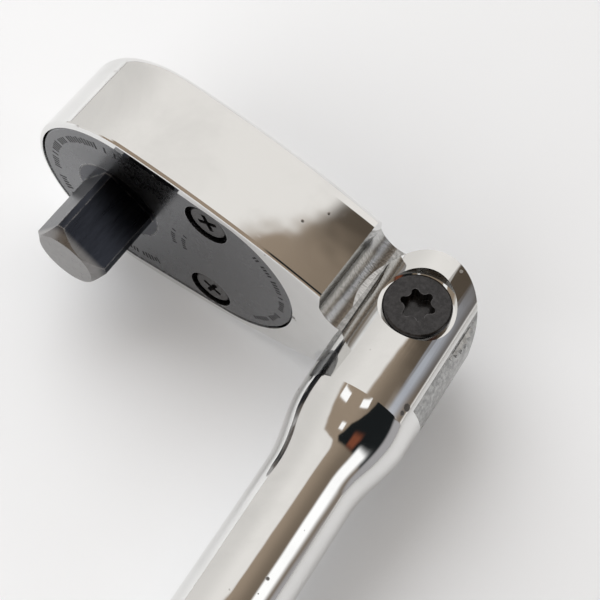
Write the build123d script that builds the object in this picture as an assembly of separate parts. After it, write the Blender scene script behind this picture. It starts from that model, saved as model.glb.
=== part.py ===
from build123d import *
import math
import os

# Flex-head ratchet wrench with a 3/8 inch drive, in millimetres and degrees.
#
# Frame: the origin is the centre of the drive square's end face. The drive points along -Y,
# the tip of the head along -X, and the flex pivot stands along +Z. The handle hangs from
# the pivot at bend_angle from straight.

# ---- Drive square ----
drive_square = 9.525
drive_reach = 11.6  # end face to the drive side of the head
drive_corner_radius = 6.2  # the square's corners are turned down to this
drive_end_radius = 4.57
drive_end_bevel = 1.6
drive_turn = 54.0  # how far the square is turned at rest, from X towards Z
flange_radius = 7.08
running_gap = 0.06  # radial clearance of every turning or sliding fit

# ---- Ratchet gear and pawl ----
gear_teeth = 72
gear_tip_radius = 11.7
tooth_depth = 0.5
tooth_tip_angle = 0.9
tooth_root_angle = 0.9
mesh_gap = 0.05  # clearance between engaged teeth
gear_room = 0.3  # gear tips to the wall of the cavity
side_gap = 0.15  # gear and pawl to the cover plate
rear_journal_radius = 5.6
rear_journal_depth = 2.7
journal_end_gap = 0.2
pawl_reach = 3.7  # gear tips to the pawl pin's axis
pawl_pin_radius = 1.5
pawl_rock = 8.0  # full rocking angle from one arm to the other
pawl_arm_angle = 38.0  # end of each arm, seen from the drive axis
pawl_bare_angle = 23.0  # the teeth begin here
pawl_arm_thickness = 2.6
pawl_hub_radius = 3.1
pawl_back_half_width = 4.2
pawl_room = 0.8  # pawl arms to the wall of the cavity
thrust_washer_thickness = 0.35
thrust_washer_inset = 1.5  # gear tips to the washer's edge

# ---- Selector ----
pin_to_selector = 8.0
selector_swing = 64.0  # full swing of the lever
spindle_radius = 3.9
spindle_room = 1.1
selector_plunger_radius = 1.2
selector_plunger_reach = 5.9
selector_back_gap = 0.3
lever_thickness = 2.0
lever_disc_radius = 5.9
lever_tab_radius = 2.4
lever_tab_reach = 9.0
lever_gap = 0.1
clip_thickness = 0.8
clip_to_wall = 0.1
seal_section = 0.5  # section radius of both seal rings

# ---- Head and cover plate ----
head_depth = 14.8
back_wall = 2.0  # left behind the rear journal
back_edge_radius = 2.2
face_edge_chamfer = 0.45
ledge_at_side = 2.6
ledge_at_tip = 1.5
rim_at_side = 1.6
rim_at_tip = 0.8
flank_start_angle = 2.5
plate_thickness = 2.6
plate_sink = 0.15
plate_gap = 0.15
plate_end_radius = 13.0
plate_end_land = 4.3  # plate to the step of the neck
selector_to_plate_end = 7.0

# ---- Cover screws ----
screw_offset = 0.65  # screws behind the pawl pin
screw_spread = 9.52  # screws either side of the centre line
screw_radius = 1.5
screw_length = 6.5
screw_head_radius = 3.0
screw_head_height = 1.35
counterbore_radius = 3.52
counterbore_depth = 1.7
thread_gap = 0.02

# ---- Neck and tang ----
neck_length = 10.4  # step of the neck to the pivot
neck_half_width = 10.4
pivot_depth = 7.85  # drive side of the head to the pivot axis
tang_thickness = 8.8
ramp_start = 7.5  # pivot to where the tang begins to thicken
ramp_rise = 2.7
ear_swing_gap = 0.15
notch_radius = 0.45
notch_gap = 0.07
notch_angle = 87.0 / 11.0
notches_past_rest = 1
notches_before_rest = 23

# ---- Flex joint ----
bend_angle = 87.0
barrel_radius = 8.3
barrel_length = 14.8
slot_depth = 12.3
ear_edge_chamfer = 0.5
friction_washer_thickness = 0.35
friction_washer_inset = 0.17  # edge of the ear to the washer's edge
pivot_radius = 3.4
pivot_thread_radius = 2.5
pivot_head_radius = 4.73
pivot_head_height = 1.3
pivot_head_sink = 0.9  # top of the barrel to the top of the screw
pivot_bore_radius = 5.3
pivot_end_recess = 0.8
lobe_recess_radius = 2.45
lobe_recess_depth = 2.0
flex_plunger_radius = 1.8
flex_plunger_length = 11.0
flex_bore_depth = 12.0

# ---- Handle ----
handle_length = 190.0  # pivot to the end of the grip
shank_radius = 6.47
shoulder_length = 12.2  # barrel to the plain shank
scoop_length = 8.2  # the hollow above and below the shoulder
flank_length = 1.2  # the barrel's width runs on this far at the flanks
shoulder_steps = 8
grip_radius = 8.7
grip_length = 97.0
grip_swell_length = 18.0
grip_end_radius = 5.0
grip_groove_radius = 0.9

# ---- Detent ball ----
ball_radius = 1.59
ball_from_end = 5.6
ball_stand_out = 0.75
ball_hole_past_axis = 2.4

# ---- Springs ----
ball_spring_wire = 0.22
selector_spring_wire = 0.2
flex_spring_wire = 0.28
spring_side_gap = 0.1
spring_end_gap = 0.05

# ---- Worked out from the sizes above ----
face_y = drive_reach
back_y = face_y + head_depth
plate_outer_y = face_y + plate_sink
ledge_y = plate_outer_y + plate_thickness
gear_front_y = ledge_y + side_gap
recess_floor_y = back_y - back_wall
floor_y = recess_floor_y - rear_journal_depth
gear_back_y = floor_y - thrust_washer_thickness - running_gap
cavity_radius = gear_tip_radius + gear_room
plate_tip_radius = cavity_radius + ledge_at_side
plate_tip_x = ledge_at_side - ledge_at_tip
head_tip_radius = plate_tip_radius + rim_at_side
head_tip_x = plate_tip_x + rim_at_side - rim_at_tip
pawl_pin_x = gear_tip_radius + pawl_reach
screw_x = pawl_pin_x + screw_offset
selector_x = pawl_pin_x + pin_to_selector
plate_end_x = selector_x + selector_to_plate_end
neck_x = plate_end_x + plate_end_land
pivot_x = neck_x + neck_length
pivot_y = face_y + pivot_depth
shoulder_end = barrel_length + shoulder_length
scoop_end = barrel_length + scoop_length
flank_start = barrel_length + flank_length
tang_half = tang_thickness / 2
slot_half = tang_half + friction_washer_thickness + running_gap
tang_radius = pivot_depth
notch_circle = tang_radius + 0.1
selector_rest = selector_swing / 2
spindle_room_radius = spindle_radius + spindle_room
clip_radius = spindle_room_radius - clip_to_wall
selector_plunger_y = (gear_front_y + floor_y - clip_thickness) / 2
thrust_washer_radius = gear_tip_radius - thrust_washer_inset
ear_half_width = math.sqrt(barrel_radius**2 - slot_half**2)
friction_washer_radius = ear_half_width - friction_washer_inset
pivot_top_z = barrel_radius - pivot_head_sink
pivot_floor_z = pivot_top_z - pivot_head_height
ball_centre = drive_square / 2 + ball_stand_out - ball_radius
ball_direction = (math.cos(math.radians(drive_turn - 90)), 0, math.sin(math.radians(drive_turn - 90)))
bend = math.radians(bend_angle)
handle_direction = (math.cos(bend), -math.sin(bend), 0)
handle_side = (math.sin(bend), math.cos(bend), 0)
HANDLE = Location(Plane((pivot_x, pivot_y, 0), x_dir=handle_side, z_dir=handle_direction))


def slab(face, y_from, y_to):
    """A solid between two planes square to the drive axis, from a face drawn in X and Z."""
    plane = Plane((0, y_to, 0), x_dir=(1, 0, 0), z_dir=(0, -1, 0))
    return extrude(plane * face, amount=y_to - y_from)


def disc(radius, y_from, y_to, x=0.0, z=0.0):
    """A round solid along the drive direction."""
    return slab(Pos(x, z) * Circle(radius), y_from, y_to)


def upright(radius, z_from, z_to):
    """A round solid along the flex pivot."""
    rod = Cylinder(radius, z_to - z_from, align=(Align.CENTER, Align.CENTER, Align.MIN))
    return Pos(pivot_x, pivot_y, z_from) * rod


def rod_along(radius, start, direction, length):
    """A round solid of any direction, from a start point."""
    rod = Cylinder(radius, length, align=(Align.CENTER, Align.CENTER, Align.MIN))
    return Location(Plane(start, z_dir=direction)) * rod


def coil_spring(length, coil_radius, wire_radius, turns):
    """A compression spring standing on the origin along +Z, coil_radius to the wire's centre."""
    rise = length - 2 * wire_radius - 2 * spring_end_gap
    path = Helix(pitch=rise / turns, height=rise, radius=coil_radius)
    section = Plane(path @ 0, z_dir=path % 0) * Circle(wire_radius)
    return Pos(0, 0, wire_radius + spring_end_gap) * sweep(section, path=path)


def seal_ring(groove_radius, y_centre, x=0.0):
    """A round-section ring that sits in a groove of a part on the drive direction."""
    ring = Torus(groove_radius + seal_section, seal_section)
    return Pos(x, y_centre, 0) * (Rot(90, 0, 0) * ring)


def drive_point(angle, radius):
    """A point on a circle about the drive axis, in X and Z."""
    a = math.radians(angle)
    return (radius * math.cos(a), radius * math.sin(a))


def wedge(half_angle, reach):
    """A triangle from the drive axis towards the handle, in X and Z."""
    points = [(0, 0), drive_point(half_angle, reach), drive_point(-half_angle, reach)]
    return make_face(Polyline(*points, close=True))


def head_outline():
    """The teardrop: a round tip, two long flanks that leave it in line, and a straight end."""
    a = math.radians(flank_start_angle)
    start = (head_tip_x + head_tip_radius * math.sin(a), head_tip_radius * math.cos(a))
    end = (neck_x, neck_half_width)
    flank = TangentArc(start, end, tangent=(math.cos(a), -math.sin(a)))
    tip = ThreePointArc(start, (head_tip_x - head_tip_radius, 0), (start[0], -start[1]))
    lines = [tip, flank, mirror(flank, Plane.XZ), Line(end, (neck_x, -neck_half_width))]
    return make_face(lines)


def plate_outline(grow=0.0):
    """Two circles and the lines that touch both."""
    tip = Pos(plate_tip_x, 0) * Circle(plate_tip_radius + grow)
    end = Pos(plate_end_x - plate_end_radius, 0) * Circle(plate_end_radius + grow)
    return make_hull(tip.edges() + end.edges())


def gear_outline(grow=0.0, turn=0.0):
    """The toothed circle. With grow, every tooth is thicker on all sides, for cutting its mate."""
    pitch = 360.0 / gear_teeth
    widen = math.degrees(grow / gear_tip_radius)
    tip = tooth_tip_angle / 2 + widen
    root = pitch / 2 - tooth_root_angle / 2 + widen
    points = []
    for tooth in range(gear_teeth):
        middle = tooth * pitch + turn
        points.append(drive_point(middle - root, gear_tip_radius - tooth_depth + grow))
        points.append(drive_point(middle - tip, gear_tip_radius + grow))
        points.append(drive_point(middle + tip, gear_tip_radius + grow))
        points.append(drive_point(middle + root, gear_tip_radius - tooth_depth + grow))
    return make_face(Polyline(*points, close=True))


def cross_recess(length, width, depth):
    """A tapered cross, to be cut downwards from the origin's plane."""
    cross = Rectangle(length, width) + Rectangle(width, length)
    return extrude(cross, amount=-depth, taper=12)


def six_lobe_recess(radius, depth):
    """A six-lobed star, to be cut downwards from the origin's plane."""
    lobe = radius * 0.21
    star = Circle(radius * 0.82)
    star += PolarLocations(radius - lobe, 6) * Circle(lobe)
    star -= PolarLocations(radius * 1.02, 6, start_angle=30) * Circle(radius * 0.3)
    return extrude(star, amount=-depth)


def rocked(solid, angle):
    """A solid turned about the pawl pin, positive angles freeing the upper arm."""
    return Pos(pawl_pin_x, 0, 0) * (Rot(0, angle, 0) * (Pos(-pawl_pin_x, 0, 0) * solid))


def swung(solid, angle):
    """A solid turned about the selector's axis."""
    return Pos(selector_x, 0, 0) * (Rot(0, angle, 0) * (Pos(-selector_x, 0, 0) * solid))


# ---- Head ----
def make_cavity():
    """The room for gear, pawl and selector under the cover plate."""
    pocket_radius = gear_tip_radius + pawl_arm_thickness + pawl_room
    pocket = Circle(pocket_radius) & wedge(pawl_arm_angle + 3.5, 2 * pocket_radius)
    swing_radius = selector_plunger_reach + 0.5
    swing = Pos(selector_x, 0) * Circle(swing_radius)
    swing &= Pos(selector_x - swing_radius, 0) * Rectangle(2 * swing_radius, 4 * swing_radius)
    back_width = 2 * (pawl_back_half_width + 1.0)
    throat_length = selector_x - gear_tip_radius
    throat = Pos(selector_x - throat_length / 2, 0) * Rectangle(throat_length, back_width)
    outline = Circle(cavity_radius) + pocket + swing + throat
    outline += Pos(selector_x, 0) * Circle(spindle_room_radius)
    return slab(outline, ledge_y - 0.1, floor_y)


def make_neck():
    """The stepped neck: a concave ramp each side narrows it to the flat tang."""
    top = tang_half + ramp_rise
    root_x = neck_x - 1.0
    mid = (pivot_x - (ramp_start + neck_length) / 2 - 0.3, tang_half + 0.35 * ramp_rise)
    root = Line((root_x, top), (neck_x, top))
    ramp = ThreePointArc((neck_x, top), mid, (pivot_x - ramp_start, tang_half))
    flat = Line((pivot_x - ramp_start, tang_half), (pivot_x, tang_half))
    half = [root, ramp, flat]
    lines = half + [mirror(line, Plane.XZ) for line in half]
    lines.append(Line((root_x, top), (root_x, -top)))
    lines.append(Line((pivot_x, tang_half), (pivot_x, -tang_half)))
    neck = slab(make_face(lines), face_y, back_y)
    for side in (1, -1):
        z_from = tang_half if side > 0 else -neck_half_width - 1
        z_to = neck_half_width + 1 if side > 0 else -tang_half
        neck -= upright(barrel_radius + ear_swing_gap, z_from, z_to)
    return neck


def make_notches():
    """What is cut out of the tang's round end for the flex detent, one notch at each stop."""
    notches = []
    for step in range(-notches_before_rest, notches_past_rest + 1):
        a = bend + math.radians(step * notch_angle)
        x = pivot_x + notch_circle * math.cos(a)
        y = pivot_y - notch_circle * math.sin(a)
        notches.append(Pos(x, y, 0) * Cylinder(notch_radius, tang_thickness + 1))
    return notches


def make_head_body():
    body = slab(head_outline(), face_y, back_y)
    back_edges = body.faces().sort_by(Axis.Y)[-1].edges().sort_by(Axis.X)[:-1]
    body = fillet(back_edges, back_edge_radius)
    face_edges = body.faces().sort_by(Axis.Y)[0].edges().sort_by(Axis.X)[:-1]
    body = chamfer(face_edges, face_edge_chamfer)
    body += make_neck()
    body += upright(tang_radius, -tang_half, tang_half)
    body -= make_notches()
    body -= upright(pivot_radius + running_gap, -tang_half - 1, tang_half + 1)
    body -= slab(plate_outline(plate_gap), face_y - 1, ledge_y)
    body -= make_cavity()
    body -= disc(rear_journal_radius + running_gap, floor_y - 1, recess_floor_y)
    body -= disc(spindle_radius + running_gap, floor_y - 1, back_y + 1, selector_x)
    body -= disc(pawl_pin_radius, floor_y - 1, floor_y + back_wall, pawl_pin_x)
    for side in (1, -1):
        body -= disc(
            screw_radius + thread_gap, ledge_y - 1, ledge_y + screw_length, screw_x, side * screw_spread
        )
    return body


def make_cover_plate():
    plate = slab(plate_outline(), plate_outer_y, ledge_y)
    plate = chamfer(plate.faces().sort_by(Axis.Y)[0].edges(), 0.2)
    plate -= disc(flange_radius + running_gap, plate_outer_y - 1, ledge_y + 1)
    for side in (1, -1):
        z = side * screw_spread
        plate -= disc(counterbore_radius, plate_outer_y - 1, plate_outer_y + counterbore_depth, screw_x, z)
        plate -= disc(screw_radius + 0.15, plate_outer_y - 1, ledge_y + 1, screw_x, z)
    return plate


def make_cover_screws():
    seat_y = plate_outer_y + counterbore_depth
    screws = []
    for side in (1, -1):
        head = Cylinder(screw_head_radius, screw_head_height, align=(Align.CENTER, Align.CENTER, Align.MIN))
        head = fillet(head.edges().sort_by(Axis.Z)[-1], 0.4)
        head -= Pos(0, 0, screw_head_height) * cross_recess(3.3, 0.75, 0.9)
        stem_length = plate_thickness - counterbore_depth + screw_length - 0.4
        stem = Cylinder(screw_radius, stem_length, align=(Align.CENTER, Align.CENTER, Align.MAX))
        turn = Rot(0, 0, 25 * side)
        place = Location(Plane((screw_x, seat_y, side * screw_spread), x_dir=(1, 0, 0), z_dir=(0, -1, 0)))
        screws.append(place * (turn * (head + stem)))
    return Compound(children=screws)


# ---- Drive ----
def make_drive_gear():
    square = Rectangle(drive_square, drive_square) & Circle(drive_corner_radius)
    tang = slab(Rot(0, 0, drive_turn) * square, 0, gear_front_y)
    cone = Solid.make_cone(
        drive_end_radius, drive_corner_radius + 0.2, drive_end_bevel, Plane((0, 0, 0), z_dir=(0, 1, 0))
    )
    cone += disc(drive_corner_radius + 0.2, drive_end_bevel, gear_front_y)
    gear = tang & cone
    gear += disc(flange_radius, plate_outer_y, gear_front_y)
    gear += slab(gear_outline(), gear_front_y, gear_back_y)
    gear += disc(rear_journal_radius, gear_back_y, recess_floor_y - journal_end_gap)
    seal_y = plate_outer_y + plate_thickness / 2
    groove = disc(flange_radius + 1, seal_y - seal_section - 0.05, seal_y + seal_section + 0.05)
    groove -= disc(flange_radius - 2 * seal_section, face_y - 1, gear_front_y)
    gear -= groove
    start = Vector(*ball_direction) * -ball_hole_past_axis + Vector(0, ball_from_end, 0)
    gear -= rod_along(ball_radius + running_gap, start, ball_direction, 2 * drive_square)
    return gear


def make_drive_ball():
    return Pos(Vector(*ball_direction) * ball_centre + Vector(0, ball_from_end, 0)) * Sphere(ball_radius)


def make_ball_spring():
    start = Vector(*ball_direction) * -ball_hole_past_axis + Vector(0, ball_from_end, 0)
    length = ball_hole_past_axis + ball_centre - ball_radius
    spring = coil_spring(length, ball_radius - spring_side_gap - ball_spring_wire - 0.3, ball_spring_wire, 5)
    return Location(Plane(start, z_dir=ball_direction)) * spring


def make_drive_seal():
    seal_y = plate_outer_y + plate_thickness / 2
    return seal_ring(flange_radius - 2 * seal_section, seal_y)


def make_thrust_washer():
    washer = disc(thrust_washer_radius, floor_y - thrust_washer_thickness, floor_y)
    return washer - disc(rear_journal_radius + 0.2, floor_y - 1, floor_y + 1)


# ---- Pawl ----
def make_pawl():
    """A rocker on its pin. It is drawn half way, cut to each arm's mesh, then rocked to rest."""
    outer = gear_tip_radius + pawl_arm_thickness
    reach = 2 * outer
    outline = (Circle(outer) & wedge(pawl_arm_angle, reach)) + Pos(pawl_pin_x, 0) * Circle(pawl_hub_radius)
    back_x = selector_x - selector_plunger_reach + 0.2
    block_x = gear_tip_radius + 1.0
    block_length = back_x - block_x
    outline += Pos(block_x + block_length / 2, 0) * Rectangle(block_length, 2 * pawl_back_half_width)
    outline -= Pos(selector_x, 0) * Circle(selector_plunger_reach + selector_back_gap)
    outline -= Pos(pawl_pin_x, 0) * Circle(pawl_pin_radius + running_gap)
    outline -= Circle(gear_tip_radius + 0.7) & wedge(pawl_bare_angle, reach)
    pawl = slab(outline, gear_front_y, gear_back_y)
    cutter = slab(gear_outline(mesh_gap), gear_front_y - 1, gear_back_y + 1)
    pawl -= rocked(cutter, pawl_rock / 2) & Pos(0, 0, 50) * Box(100, 100, 100)
    pawl -= rocked(cutter, -pawl_rock / 2) & Pos(0, 0, -50) * Box(100, 100, 100)
    return rocked(pawl, -pawl_rock / 2)


def make_pawl_pin():
    return disc(pawl_pin_radius, gear_front_y, floor_y + back_wall, pawl_pin_x)


# ---- Selector ----
def make_selector_lever():
    lever_y = back_y + lever_gap
    outline = make_hull(
        Circle(lever_disc_radius).edges() + (Pos(lever_tab_reach, 0) * Circle(lever_tab_radius)).edges()
    )
    lever = slab(Pos(selector_x, 0) * outline, lever_y, lever_y + lever_thickness)
    lever = fillet(lever.faces().sort_by(Axis.Y)[-1].edges(), 0.8)
    lever += disc(spindle_radius, ledge_y + side_gap, lever_y, selector_x)
    for step in (-1, 0, 1):
        x = selector_x + lever_tab_reach + step * 1.3
        lever -= Pos(x, lever_y + lever_thickness, 0) * Cylinder(0.35, 2 * lever_disc_radius)
    clip_y = floor_y - running_gap - clip_thickness
    groove = disc(spindle_radius + 1, clip_y - 0.02, clip_y + clip_thickness + 0.02, selector_x)
    lever -= groove - disc(spindle_radius - 0.7, floor_y - 3, floor_y + 1, selector_x)
    seal_y = (floor_y + back_y) / 2
    groove = disc(spindle_radius + 1, seal_y - seal_section - 0.05, seal_y + seal_section + 0.05, selector_x)
    lever -= groove - disc(spindle_radius - 2 * seal_section, floor_y, back_y, selector_x)
    bore_start = (selector_x + spindle_radius - 1.2, selector_plunger_y, 0)
    lever -= rod_along(selector_plunger_radius + running_gap, bore_start, (-1, 0, 0), 3 * spindle_radius)
    return swung(lever, selector_rest)




def make_selector_plunger():
    length = selector_plunger_reach - 1.6
    start = (selector_x - 1.6, selector_plunger_y, 0)
    plunger = rod_along(selector_plunger_radius, start, (-1, 0, 0), length)
    plunger = fillet(plunger.faces().sort_by(Axis.X)[0].edges(), selector_plunger_radius - 0.05)
    return swung(plunger, selector_rest)


def make_selector_spring():
    start_x = selector_x + spindle_radius - 1.2
    length = start_x - selector_x + 1.6
    coil = selector_plunger_radius - spring_side_gap - selector_spring_wire
    spring = coil_spring(length, coil, selector_spring_wire, 5)
    place = Location(Plane((start_x, selector_plunger_y, 0), z_dir=(-1, 0, 0)))
    return swung(place * spring, selector_rest)


def make_selector_clip():
    clip_y = floor_y - running_gap - clip_thickness
    clip = disc(clip_radius, clip_y, clip_y + clip_thickness, selector_x)
    clip -= disc(spindle_radius - 0.7 + 0.02, clip_y - 1, floor_y, selector_x)
    mouth = Pos(selector_x + clip_radius, clip_y, 0) * Box(2 * clip_radius, 4, 2 * spindle_radius - 2.4)
    return swung(clip - mouth, selector_rest)


def make_selector_seal():
    return seal_ring(spindle_radius - 2 * seal_section, (floor_y + back_y) / 2, selector_x)


# ---- Handle, in its own frame: Z along the handle from the pivot, Y along the pivot ----
def make_shoulder():
    """The forged shoulder: full at the flanks, scooped above and below, down to the round shank."""
    spare = barrel_radius - shank_radius
    run = shoulder_end - barrel_length
    sections = []
    for step in range(shoulder_steps + 1):
        z = barrel_length + run * step / shoulder_steps
        scoop = max(scoop_end - z, 0) / (scoop_end - barrel_length)
        flank = max(z - flank_start, 0) / (shoulder_end - flank_start)
        half_height = shank_radius + spare * scoop**2
        half_width = shank_radius + spare * (1 + math.cos(math.pi * flank)) / 2
        sections.append(Pos(0, 0, z) * Ellipse(half_width, half_height))
    return loft(sections)


def make_grip_profile():
    """Half of the shank and grip, in radius and distance from the pivot."""
    swell_start = handle_length - grip_length - grip_swell_length
    swell_end = handle_length - grip_length
    dome_start = handle_length - grip_end_radius
    shank = Line((shank_radius, shoulder_end), (shank_radius, swell_start))
    swell = Spline(
        (shank_radius, swell_start), (grip_radius, swell_end), tangents=[(0, 1), (0, 1)]
    )
    grip = Line((grip_radius, swell_end), (grip_radius, dome_start))
    dome = RadiusArc(
        (grip_radius, dome_start), (grip_radius - grip_end_radius, handle_length), -grip_end_radius
    )
    end = Line((grip_radius - grip_end_radius, handle_length), (0, handle_length))
    axis = Line((0, handle_length), (0, shoulder_end))
    start = Line((0, shoulder_end), (shank_radius, shoulder_end))
    return make_face([shank, swell, grip, dome, end, axis, start])


def make_handle():
    barrel = Pos(0, 0, -barrel_radius) * Cylinder(
        barrel_radius, barrel_length + barrel_radius, align=(Align.CENTER, Align.CENTER, Align.MIN)
    )
    round_end = Rot(90, 0, 0) * Cylinder(barrel_radius, 3 * barrel_radius)
    rest = Pos(0, 0, barrel_length / 2 + 1) * Box(3 * barrel_radius, 3 * barrel_radius, barrel_length + 2)
    barrel &= round_end + rest
    slot = Pos(0, 0, slot_depth / 2 - barrel_radius) * Box(
        3 * barrel_radius, 2 * slot_half, slot_depth + 2 * barrel_radius
    )
    barrel -= slot
    ear_edges = barrel.edges().filter_by(
        lambda e: abs(abs(e.center().Y) - slot_half) < 0.01 and e.center().Z < slot_depth - 0.5
    )
    barrel = chamfer(ear_edges, ear_edge_chamfer)
    grip = revolve(Plane.XZ * make_grip_profile(), Axis.Z)
    handle = barrel + make_shoulder() + grip
    for share in (0.0, 1.0):
        z = handle_length - grip_length + 3 + share * (grip_length - 2 * grip_end_radius - 4)
        handle -= Pos(0, 0, z) * Torus(grip_radius + grip_groove_radius * 0.4, grip_groove_radius)
    pivot = Rot(90, 0, 0)
    handle -= Pos(0, 0, 0) * (pivot * Cylinder(pivot_thread_radius + thread_gap, 3 * barrel_radius))
    upper = Cylinder(pivot_radius + running_gap, barrel_radius, align=(Align.CENTER, Align.CENTER, Align.MAX))
    handle -= pivot * upper
    bore = Cylinder(pivot_bore_radius, barrel_radius, align=(Align.CENTER, Align.CENTER, Align.MAX))
    handle -= Pos(0, pivot_floor_z, 0) * (pivot * bore)
    handle -= Pos(0, 0, slot_depth - 1) * Cylinder(
        flex_plunger_radius + running_gap, flex_bore_depth + 1, align=(Align.CENTER, Align.CENTER, Align.MIN)
    )
    return HANDLE * handle


def make_pivot_screw():
    head = upright(pivot_head_radius, pivot_floor_z, pivot_top_z)
    head = fillet(head.edges().sort_by(Axis.Z)[-1], 0.45)
    screw = head + upright(pivot_radius, -slot_half, pivot_floor_z)
    screw += upright(pivot_thread_radius, -barrel_radius + pivot_end_recess, -slot_half)
    recess = six_lobe_recess(lobe_recess_radius, lobe_recess_depth)
    return screw - Pos(pivot_x, pivot_y, pivot_top_z) * (Rot(0, 0, 12) * recess)


def make_friction_washers():
    washers = []
    for side in (1, -1):
        z_from = slot_half - friction_washer_thickness if side > 0 else -slot_half
        washer = upright(friction_washer_radius, z_from, z_from + friction_washer_thickness)
        washers.append(washer - upright(pivot_radius + running_gap, z_from - 1, z_from + 1))
    return Compound(children=washers)


def flex_nose_z():
    """Where the rounded nose of the flex plunger ends, along the handle."""
    return notch_circle - notch_radius + notch_gap


def make_flex_plunger():
    nose = notch_radius - notch_gap
    tip_z = flex_nose_z() + nose
    cone_length = (flex_plunger_radius - nose) / math.tan(math.radians(38))
    z_cone = tip_z + cone_length
    plunger = Pos(0, 0, tip_z) * Sphere(nose)
    plunger += Pos(0, 0, tip_z) * Cone(
        nose, flex_plunger_radius, cone_length, align=(Align.CENTER, Align.CENTER, Align.MIN)
    )
    plunger += Pos(0, 0, z_cone) * Cylinder(
        flex_plunger_radius,
        flex_plunger_length - cone_length,
        align=(Align.CENTER, Align.CENTER, Align.MIN),
    )
    return HANDLE * plunger


def make_flex_spring():
    nose = notch_radius - notch_gap
    start_z = flex_nose_z() + nose + flex_plunger_length
    length = slot_depth + flex_bore_depth - start_z
    coil = flex_plunger_radius - spring_side_gap - flex_spring_wire
    return HANDLE * (Pos(0, 0, start_z) * coil_spring(length, coil, flex_spring_wire, 4))


nodes = {
    "handle": make_handle(),
    "pivot_screw": make_pivot_screw(),
    "friction_washers": make_friction_washers(),
    "flex_plunger": make_flex_plunger(),
    "flex_spring": make_flex_spring(),
    "head_body": make_head_body(),
    "cover_plate": make_cover_plate(),
    "cover_screws": make_cover_screws(),
    "thrust_washer": make_thrust_washer(),
    "pawl_pin": make_pawl_pin(),
    "pawl": make_pawl(),
    "drive_gear": make_drive_gear(),
    "drive_seal": make_drive_seal(),
    "drive_ball": make_drive_ball(),
    "ball_spring": make_ball_spring(),
    "selector_lever": make_selector_lever(),
    "selector_clip": make_selector_clip(),
    "selector_seal": make_selector_seal(),
    "selector_plunger": make_selector_plunger(),
    "selector_spring": make_selector_spring(),
}

os.makedirs("parts", exist_ok=True)
for name, shape in nodes.items():
    export_step(shape, f"parts/{name}.step")
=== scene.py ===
import math
from types import SimpleNamespace

import bmesh
import bpy
from bpy.props import FloatProperty, FloatVectorProperty, PointerProperty
from mathutils import Matrix, Vector


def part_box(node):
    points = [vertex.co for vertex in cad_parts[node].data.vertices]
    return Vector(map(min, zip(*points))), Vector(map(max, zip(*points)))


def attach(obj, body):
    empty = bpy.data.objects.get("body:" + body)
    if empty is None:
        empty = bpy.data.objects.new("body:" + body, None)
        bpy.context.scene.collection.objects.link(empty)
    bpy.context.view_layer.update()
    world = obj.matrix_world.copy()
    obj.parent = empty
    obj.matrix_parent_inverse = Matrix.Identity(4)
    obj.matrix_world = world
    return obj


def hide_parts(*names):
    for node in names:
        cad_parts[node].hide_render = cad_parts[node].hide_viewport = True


bl_info = {
    "name": "Flex-Head Ratchet",
    "version": (1, 0, 0),
    "blender": (4, 5, 0),
    "location": "View3D > Sidebar > Ratchet",
    "description": "Builds the polished forgings, finishes and studio of a flex-head ratchet",
    "category": "Object",
}

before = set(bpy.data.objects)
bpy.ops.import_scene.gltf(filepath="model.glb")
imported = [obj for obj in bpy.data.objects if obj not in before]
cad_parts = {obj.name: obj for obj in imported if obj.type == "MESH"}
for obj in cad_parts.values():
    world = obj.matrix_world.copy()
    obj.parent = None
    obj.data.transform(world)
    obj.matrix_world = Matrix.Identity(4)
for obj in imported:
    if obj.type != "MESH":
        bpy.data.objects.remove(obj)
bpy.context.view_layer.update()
MM = 0.001
CLEAR = 1.0  # how far a cutter reaches past what it cuts, in millimetres
SHARP_ANGLE = math.radians(14)
ROUND_STEPS = 96
HEAD_DEPTH = 14.8
RAMP_SAG = 0.13  # how far the neck's ramps bow, as a share of their length
NOTCH_STEPS = range(-23, 2)  # which notches are cut, counted from the handle's rest angle
CREASE = math.radians(30)  # edges sharper than this get rounded


def length(name, millimetres, description):
    """A length that a user may change, stored in metres."""
    return FloatProperty(
        name=name, description=description, default=millimetres * MM, unit="LENGTH", precision=5
    )


def angle(name, degrees, description):
    return FloatProperty(
        name=name, description=description, default=math.radians(degrees), subtype="ANGLE", unit="ROTATION"
    )


def colour(name, rgb, description):
    return FloatVectorProperty(
        name=name, description=description, default=rgb, subtype="COLOR", size=3, min=0.0, max=1.0
    )


def share(name, value, description):
    return FloatProperty(
        name=name, description=description, default=value, subtype="FACTOR", min=0.0, max=1.0
    )


def power(name, watts, description):
    return FloatProperty(name=name, description=description, default=watts, unit="POWER")


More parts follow.
